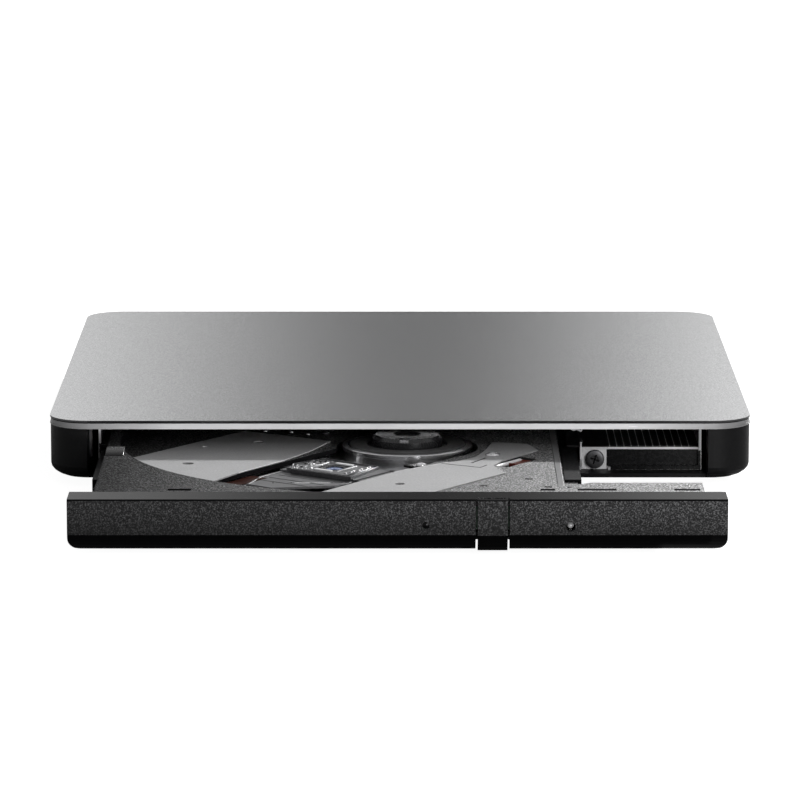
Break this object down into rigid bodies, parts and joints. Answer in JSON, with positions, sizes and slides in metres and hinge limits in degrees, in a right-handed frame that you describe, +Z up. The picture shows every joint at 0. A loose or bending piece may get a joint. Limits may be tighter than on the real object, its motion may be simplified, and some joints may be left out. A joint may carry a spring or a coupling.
{
  "type": "external optical drive",
  "caption": "Slim external optical drive with an aluminium top, a black shell and a sliding disc tray that stands half open on telescopic rails.",
  "frame": {"origin": "centre of the shell's flat underside; the rubber feet reach 1 mm below it", "axes": "+Z up, +X to the right seen from the tray front, -Y towards the tray front"},
  "size_m": [0.1484, 0.2175, 0.0142],
  "materials": {
    "lid_aluminium": "fine bead-blasted, anodised",
    "frame_silver": "smooth satin band",
    "shell_black": "fine moulded texture",
    "foot_rubber": "soft matt",
    "screw_black": "black zinc",
    "sheet_steel": "zinc-plated sheet",
    "rail_dark": "dark oiled steel",
    "liner_black": "dark moulded",
    "guide_plastic": "dark acetal",
    "flex_cable": "dark laminated film over raised conductors",
    "circuit_board": "solder mask",
    "chip_black": "epoxy",
    "plated_shell": "nickel-plated",
    "tray_black": "coarse spark-eroded grain",
    "bezel_black": "coarse moulded grain, semi-matt",
    "clear_plastic": "moulded clear",
    "led_green": "diffuse",
    "cover_silver": "fine rolled sheet",
    "polished_rod": "ground and polished",
    "copper_winding": "enamelled copper",
    "bronze": "sintered bronze",
    "rotor_steel": "turned and polished",
    "hub_black": "smooth moulded",
    "carriage_metal": "die-cast",
    "lens_glass": "coated moulded glass"
  },
  "bodies": {
    "enclosure": {"top_plate": "lid_aluminium", "lid_frame": "frame_silver", "bottom_shell": "shell_black", "rubber_feet": "foot_rubber", "case_screws": "screw_black", "drive_chassis": "sheet_steel", "drive_top_cover": "sheet_steel", "cover_screws": "sheet_steel", "wing_shelf": "sheet_steel", "wing_liner": "liner_black", "front_tab_screw": "screw_black", "left_guide": "guide_plastic", "right_guide": "guide_plastic", "lock_pin": "sheet_steel", "shelf_flex_cable": "flex_cable", "bridge_board": "circuit_board", "bridge_chips": "chip_black", "usb_port": "plated_shell", "drive_connector": "liner_black", "board_screws": "screw_black"},
    "left_slide_rail": {"left_rail": "rail_dark"},
    "right_slide_rail": {"right_rail": "rail_dark"},
    "tray": {"tray_frame": "tray_black", "bezel": "bezel_black", "light_pipe": "clear_plastic", "front_board": "circuit_board", "indicator_led": "led_green", "eject_switch": "plated_shell", "left_cover_plate": "cover_silver", "right_cover_plate": "cover_silver", "tray_bottom_cover": "sheet_steel", "main_board": "circuit_board", "board_chips": "chip_black", "traverse_chassis": "sheet_steel", "rubber_dampers": "foot_rubber", "damper_screws": "sheet_steel", "main_guide_rod": "polished_rod", "sub_guide_rod": "polished_rod", "stepper_motor": "plated_shell", "spindle_stator": "copper_winding", "spindle_bearing": "bronze", "solenoid": "copper_winding", "lever_spring": "plated_shell", "ejector_spring": "plated_shell"},
    "plunger": {"solenoid_plunger": "polished_rod"},
    "turntable_rotor": {"turntable": "rotor_steel", "friction_ring": "foot_rubber", "disc_hub": "hub_black", "clamp_balls": "rotor_steel"},
    "pickup": {"pickup_carriage": "carriage_metal", "lens_cover": "carriage_metal", "feed_nut": "guide_plastic"},
    "lens_actuator": {"lens_holder": "hub_black", "objective_lens": "lens_glass"},
    "screw_shaft": {"feed_screw": "polished_rod"},
    "button": {"eject_button": "bezel_black"},
    "lever": {"lock_lever": "guide_plastic"},
    "ejector": {"ejector_plunger": "guide_plastic"}
  },
  "joints": [
    {"name": "tray_slide", "type": "slide", "parent": "enclosure", "child": "tray", "axis": [0, -1, 0], "range_m": [-0.0722, 0.0638]},
    {"name": "left_rail_slide", "type": "slide", "parent": "enclosure", "child": "left_slide_rail", "axis": [0, -1, 0], "range_m": [-0.0361, 0.0319]},
    {"name": "right_rail_slide", "type": "slide", "parent": "enclosure", "child": "right_slide_rail", "axis": [0, -1, 0], "range_m": [-0.0361, 0.0319]},
    {"name": "turntable_spin", "type": "hinge", "parent": "tray", "child": "turntable_rotor", "pos_m": [0.0015, -0.0692, 0.005], "axis": [0, 0, 1], "continuous": true},
    {"name": "pickup_slide", "type": "slide", "parent": "tray", "child": "pickup", "axis": [-0.5807, -0.8141, 0], "range_m": [-0.0035, 0.031]},
    {"name": "feed_screw_spin", "type": "hinge", "parent": "tray", "child": "screw_shaft", "pos_m": [0.01518, -0.07896, 0.0046], "axis": [-0.5807, -0.8141, 0], "range_deg": [-421, 3721]},
    {"name": "lens_focus", "type": "slide", "parent": "pickup", "child": "lens_actuator", "axis": [0, 0, 1], "range_m": [-0.0005, 0.0005]},
    {"name": "button_press", "type": "slide", "parent": "tray", "child": "button", "axis": [0, 1, 0], "range_m": [0, 0.0006]},
    {"name": "lever_swing", "type": "hinge", "parent": "tray", "child": "lever", "pos_m": [0.0255, -0.1302, 0.0037], "axis": [0, 0, 1], "range_deg": [-17.1, 0]},
    {"name": "plunger_slide", "type": "slide", "parent": "tray", "child": "plunger", "axis": [-0.5807, -0.8141, 0], "range_m": [0, 0.0015]},
    {"name": "ejector_slide", "type": "slide", "parent": "tray", "child": "ejector", "axis": [0, 1, 0], "range_m": [-0.001, 0]}
  ],
  "couplings": [
    {"joint": "left_rail_slide", "follows": "tray_slide", "ratio": 0.5},
    {"joint": "right_rail_slide", "follows": "tray_slide", "ratio": 0.5},
    {"joint": "feed_screw_spin", "follows": "pickup_slide", "rad_per_m": 2094.4},
    {"joint": "lever_swing", "follows": "plunger_slide", "rad_per_m": -198}
  ]
}
